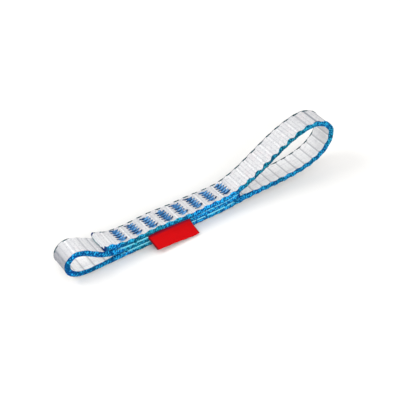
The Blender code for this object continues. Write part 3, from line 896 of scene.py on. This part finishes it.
def ribbon(mat):
    """A ribbon folded double: its two ends lie between the layers, and the
    fold hangs outside.  It turns down close to the tape's edge and then
    runs nearly straight, a little steeper and longer at the right."""
    nx, rows = 91, []
    xs = np.concatenate([[0.0, 0.012], np.linspace(0.03, 0.97, nx - 4),
                         [0.988, 1.0]])
    thick, ply = 0.94, 0.42
    for fx in xs:
        steep = math.radians(25.0 + 4.0 * fx)
        drop = math.radians(22.0 + 33.0 * fx)
        more = math.radians(7.0)
        out_run = 7.85 + 1.10 * fx + 0.09 * math.sin(9.0 * fx + 0.6) \
            + 0.05 * math.sin(31.0 * fx)
        tail = ROOT_Y - TAIL_Y                     # negative run of the tail
        runs = np.concatenate([np.linspace(tail, -0.4, 9),
                               np.linspace(-0.2, out_run - thick / 2, 46)])
        # slope along the run, then the mid line by adding it up
        bend = np.where(runs < 0, 0.0, steep * (1 - np.exp(-np.maximum(runs, 0)
                                                           / 0.45))
                        + drop * np.exp(-((runs - 0.7) / (0.75 + 0.2 * fx)) ** 2)
                        + more * np.maximum(runs, 0) / 7.5
                        + math.radians(2.0) * np.sin(0.9 * runs + 5 * fx))
        step = np.diff(runs)
        mean = (bend[1:] + bend[:-1]) / 2
        y = TAIL_Y - np.concatenate([[0], np.cumsum(step * np.cos(mean))])
        z = TAB_Z - np.concatenate([[0], np.cumsum(step * np.sin(mean))])
        ny, nz = -np.sin(bend), np.cos(bend)
        # pressed together between the layers, a little open outside
        open_ = smooth(runs, -0.3, 1.6)
        half = 0.215 + (thick / 2 - 0.215) * open_
        hollow = np.maximum(half - ply, 0.012)
        outer = [(y[k] + ny[k] * half[k], z[k] + nz[k] * half[k])
                 for k in range(len(runs))]
        inner = [(y[k] + ny[k] * hollow[k], z[k] + nz[k] * hollow[k])
                 for k in range(len(runs))]
        low_o = [(y[k] - ny[k] * half[k], z[k] - nz[k] * half[k])
                 for k in reversed(range(len(runs)))]
        low_i = [(y[k] - ny[k] * hollow[k], z[k] - nz[k] * hollow[k])
                 for k in reversed(range(len(runs)))]
        ty, tz = -math.cos(bend[-1]), -math.sin(bend[-1])
        bend_o, bend_i, bo = [], [], []
        for k in range(1, 10):
            a = math.pi / 2 - math.pi * k / 10
            for r_, where in ((half[-1], bend_o), (hollow[-1], bend_i)):
                where.append((y[-1] + ty * r_ * math.cos(a) * 0.8
                              + ny[-1] * r_ * math.sin(a),
                              z[-1] + tz * r_ * math.cos(a) * 0.8
                              + nz[-1] * r_ * math.sin(a)))
            bo.append(runs[-1] - tail + half[-1] * (math.pi / 2 - a))
        total = runs[-1] - tail + half[-1] * math.pi
        vals = [v - tail for v in runs] + bo \
            + [total + runs[-1] - v for v in reversed(runs)]
        vals = vals + list(reversed(vals))
        loop = outer + bend_o + low_o + list(reversed(low_i)) \
            + list(reversed(bend_i)) + list(reversed(inner))
        rows.append((TAB_X0 + (TAB_X1 - TAB_X0) * fx, loop, vals, fx))
    m = len(rows[0][1])
    co, across, run, edge = [], [], [], []
    for i, (x, loop, vals, fx) in enumerate(rows):
        e = min(i, len(rows) - 1 - i)
        shrink = (0.45, 0.85)[e] if e < 2 else 1.0
        cloth = np.array(loop)
        if shrink < 1.0:
            h = m // 2
            pair = (cloth + cloth[::-1]) / 2
            cloth = pair + (cloth - pair) * shrink
        for k in range(m):
            rib = 0.012 * math.sin(2 * math.pi * vals[k] / 0.75) \
                * math.sin(2 * math.pi * x / 0.75)
            lean = TAB_SHEAR * float(smooth(-cloth[k][0], 5.2, 13.5)) ** 0.8
            co.append((x + lean + 0.05 * math.sin(1.3 * vals[k]), cloth[k][0],
                       cloth[k][1] + rib))
            across.append(x)
            run.append(vals[k])
            edge.append({0: 1.0, 1: 0.8, 2: 0.35}.get(e, 0.0))
    faces = []
    for i in range(len(rows) - 1):
        for k in range(m):
            q = (k + 1) % m
            faces.append((i * m + k, i * m + q, (i + 1) * m + q, (i + 1) * m + k))
    h = m // 2
    for i in (0, len(rows) - 1):
        for k in range(h - 1):
            a, b = i * m + k, i * m + k + 1
            c, d = i * m + m - 2 - k, i * m + m - 1 - k
            faces.append((a, d, c, b) if i == 0 else (a, b, c, d))
    co = (np.array(co) - ORIGIN) * MM
    ob = new_mesh("red_tab", co, faces, mat)
    # painted shade: darker near the tape's edge, where the tab comes out from between the
    # layers
    root = 1 - smooth(-(co[:, 1] / MM + ORIGIN[1]), 5.5, 6.4)
    for key, values in (("ribbon_across", across), ("ribbon_run", run),
                        ("ribbon_edge", edge), ("ribbon_root_shade", root)):
        at = ob.data.attributes.new(key, 'FLOAT', 'POINT')
        at.data.foreach_set("value", np.array(values, np.float32))
    return ob


# ------------------------------------------------------------------ assemble
WEBBING = webbing_material("webbing")
THREAD = thread_material("bar_tack_thread")
RIBBON = ribbon_material("red_ribbon")

pieces = {
    "webbing_upper_end": (0.0, S_UP, True, False, "small",
                          ["top_layer_end"]),
    "webbing_large_loop": (S_UP, S_DOWN, False, False, "large",
                           ["top_layer", "big_loop"]),
    "webbing_small_loop": (S_DOWN, S_BACK, False, False, "small",
                           ["bottom_layer", "small_loop"]),
    "webbing_middle_end": (S_BACK, TOTAL, False, True, "large",
                           ["middle_layer"]),
}
for name, (s0, s1, c0, c1, where, stands) in pieces.items():
    ob = tape_piece(name, s0, s1, c0, c1, WEBBING)
    if where == "large":
        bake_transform(ob)
    else:
        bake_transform(ob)
    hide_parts(*stands)

for i in range(TACK_COUNT):
    for upper in (True, False):
        ob = tack_threads(i, upper)
        kind = "needle" if upper else "bobbin"
        if i == 0:
            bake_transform(ob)
        elif i == TACK_COUNT - 1:
            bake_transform(ob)
        else:
            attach(ob, "stitched_body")
        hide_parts(f"tack_{i + 1}_{kind}_thread")

tab = ribbon(RIBBON)
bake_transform(tab)
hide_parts("label_flap", "label_tail")

# ------------------------------------------------------------------ stage
low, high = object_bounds()
floor_z = min(0.0, low.z) - 0.00001
me = bpy.data.meshes.new("floor")
r = 3.0
me.from_pydata([(-r, -r, floor_z), (r, -r, floor_z), (r, r, floor_z),
                (-r, r, floor_z)], [], [(0, 1, 2, 3)])
floor = bpy.data.objects.new("floor", me)
bpy.context.scene.collection.objects.link(floor)
paper = Net("pale_floor")
grain = paper.noise(60.0, 2.0)
paper.link(paper.mix(grain, (0.885, 0.875, 0.858), (0.90, 0.89, 0.872)),
           paper.shader.inputs["Base Color"])
paper.shader.inputs["Roughness"].default_value = 0.9
paper.shader.inputs["Specular IOR Level"].default_value = 0.2
me.materials.append(paper.mat)


def area_light(name, at, to, size, power, colour=(1, 1, 1)):
    d = bpy.data.lights.new(name, 'AREA')
    d.shape = 'DISK'
    d.size = size
    d.energy = power
    d.color = colour
    ob = bpy.data.objects.new(name, d)
    bpy.context.scene.collection.objects.link(ob)
    z = np.array(at, float) - np.array(to, float)
    z /= np.linalg.norm(z)
    x = np.cross((0.0, 1.0, 0.0), z)
    x /= np.linalg.norm(x)
    y = np.cross(z, x)
    m = Matrix.Identity(4)
    for k in range(3):
        m[k][0], m[k][1], m[k][2], m[k][3] = x[k], y[k], z[k], at[k]
    ob.matrix_world = m
    return ob


area_light("overhead", (-0.50, 0.30, 0.63), (0, 0, 0), 0.42, 2.1)
area_light("front", (-0.22, -0.88, 0.50), (0, 0, 0), 0.70, 5.0)

world = bpy.data.worlds.new("studio")
bpy.context.scene.world = world
world.use_nodes = True
sky = world.node_tree
background = sky.nodes["Background"]
background.inputs["Color"].default_value = (1, 1, 1, 1)
coords = sky.nodes.new("ShaderNodeTexCoord")
parts = sky.nodes.new("ShaderNodeSeparateXYZ")
level = sky.nodes.new("ShaderNodeMapRange")
level.inputs["From Min"].default_value = 0.0
level.inputs["From Max"].default_value = 1.0
level.inputs["To Min"].default_value = 0.80
level.inputs["To Max"].default_value = 0.94
sky.links.new(coords.outputs["Generated"], parts.inputs[0])
sky.links.new(parts.outputs["Z"], level.inputs["Value"])
sky.links.new(level.outputs["Result"], background.inputs["Strength"])

# ------------------------------------------------------------------ camera
cam_data = bpy.data.cameras.new("camera")
cam_data.sensor_width = 36.0
cam_data.lens = 91.985
cam_data.clip_start = 0.01
cam_data.clip_end = 20.0
cam = bpy.data.objects.new("camera", cam_data)
bpy.context.scene.collection.objects.link(cam)
right = (0.8319138, -0.55440874, -0.02345997)
up = (0.37088505, 0.52408703, 0.7666662)
forward = (0.41275138, 0.64650115, -0.64161715)
place = point(-143.166, -311.011, 317.124)
m = Matrix.Identity(4)
for k in range(3):
    m[k][0], m[k][1], m[k][2], m[k][3] = right[k], up[k], -forward[k], place[k]
cam.matrix_world = m
bpy.context.scene.camera = cam

bpy.context.scene.view_settings.view_transform = 'Standard'
bpy.context.scene.view_settings.look = 'None'
